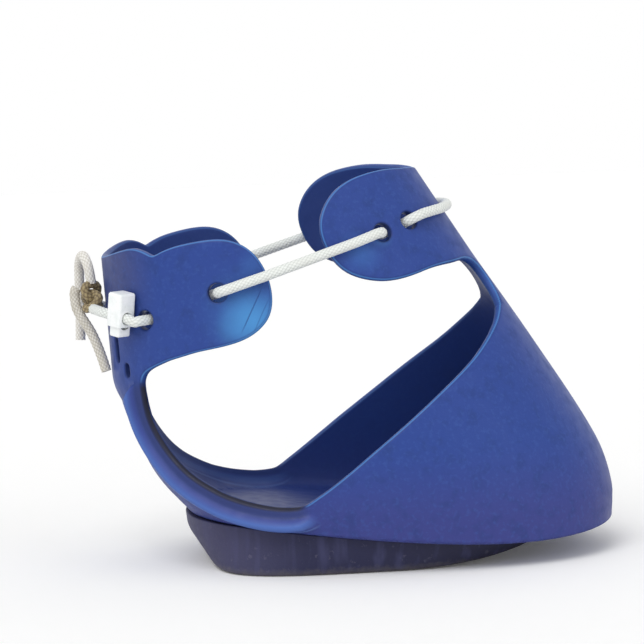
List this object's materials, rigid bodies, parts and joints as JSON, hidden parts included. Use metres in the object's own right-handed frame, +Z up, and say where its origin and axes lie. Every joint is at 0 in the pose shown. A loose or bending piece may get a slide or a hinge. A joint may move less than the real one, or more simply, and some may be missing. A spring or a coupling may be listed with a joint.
{
  "type": "horse hoof boot",
  "caption": "Moulded hoof boot with a closed toe cap, low sides, a wedge outsole, a hinged tongue and heel strap with lacing wings, and a drawn lace held by a sprung cord lock.",
  "frame": {"origin": "on the ground contact face, under the middle of the outsole's centre rib, with the boot standing", "axes": "+Z up, +X to the toe, +Y to the boot's left; the cord lock is on the right, at -Y"},
  "size_m": [0.2145, 0.1224, 0.155],
  "materials": {
    "moulded_pvc": "satin moulded soft PVC",
    "sole_pvc": "matt moulded rubber",
    "braided_nylon": "braided",
    "lock_plastic": "satin",
    "spring_steel": "bright wire"
  },
  "bodies": {
    "root": {"outsole": "sole_pvc", "boot_shell": "moulded_pvc"},
    "front_tongue": {"front_tongue": "moulded_pvc", "lace_front": "braided_nylon"},
    "front_wing_right": {"front_wing_right": "moulded_pvc", "lace_front_wing_right": "braided_nylon"},
    "front_wing_left": {"front_wing_left": "moulded_pvc", "lace_front_wing_left": "braided_nylon"},
    "heel_strap": {"heel_strap": "moulded_pvc", "lace_back_right": "braided_nylon", "lace_back_left": "braided_nylon", "lace_knot": "braided_nylon", "lace_tail_outer": "braided_nylon", "lace_tail_inner": "braided_nylon"},
    "heel_wing_right": {"heel_wing_right": "moulded_pvc", "lace_heel_wing_right": "braided_nylon", "lace_side_right": "braided_nylon"},
    "heel_wing_left": {"heel_wing_left": "moulded_pvc", "lace_heel_wing_left": "braided_nylon", "lace_side_left": "braided_nylon"},
    "cord_lock": {"cord_lock_body": "lock_plastic", "cord_lock_spring": "spring_steel"},
    "cord_lock_plunger": {"cord_lock_plunger": "lock_plastic"}
  },
  "joints": [
    {"name": "front_tongue_bend", "type": "hinge", "parent": "root", "child": "front_tongue", "pos_m": [0.06837, 0, 0.10781], "axis": [0, 1, 0], "range_deg": [0, 45], "stiffness_Nm_per_rad": 2, "deforming": ["lace_side_right", "lace_side_left"]},
    {"name": "heel_strap_bend", "type": "hinge", "parent": "root", "child": "heel_strap", "pos_m": [-0.08263, 0, 0.06878], "axis": [0, -1, 0], "range_deg": [0, 40], "stiffness_Nm_per_rad": 2.5, "deforming": ["lace_side_right", "lace_side_left"]},
    {"name": "heel_wing_right_bend", "type": "hinge", "parent": "heel_strap", "child": "heel_wing_right", "pos_m": [-0.06645, -0.03457, 0.10473], "axis": [0.1081, -0.1038, -0.9887], "range_deg": [0, 55], "stiffness_Nm_per_rad": 1, "deforming": ["lace_side_right"]},
    {"name": "heel_wing_left_bend", "type": "hinge", "parent": "heel_strap", "child": "heel_wing_left", "pos_m": [-0.06645, 0.03457, 0.10473], "axis": [-0.1081, -0.1038, 0.9887], "range_deg": [0, 55], "stiffness_Nm_per_rad": 1, "deforming": ["lace_side_left"]},
    {"name": "front_wing_right_bend", "type": "hinge", "parent": "front_tongue", "child": "front_wing_right", "pos_m": [0.0419, -0.02204, 0.1365], "axis": [-0.5127, 0.0873, 0.8541], "range_deg": [0, 55], "stiffness_Nm_per_rad": 1, "deforming": ["lace_side_right", "lace_front"]},
    {"name": "front_wing_left_bend", "type": "hinge", "parent": "front_tongue", "child": "front_wing_left", "pos_m": [0.0419, 0.02204, 0.1365], "axis": [0.5127, 0.0873, -0.8541], "range_deg": [0, 55], "stiffness_Nm_per_rad": 1, "deforming": ["lace_side_left", "lace_front"]},
    {"name": "cord_lock_slide", "type": "slide", "parent": "heel_strap", "child": "cord_lock", "axis": [-0.6286, 0.7641, 0.1451], "range_m": [0, 0.004]},
    {"name": "cord_lock_press", "type": "slide", "parent": "cord_lock", "child": "cord_lock_plunger", "axis": [0.0922, -0.1121, 0.9894], "range_m": [0, 0.0024], "stiffness_N_per_m": 600, "springref_m": -0.001, "deforming": ["cord_lock_spring"]}
  ]
}
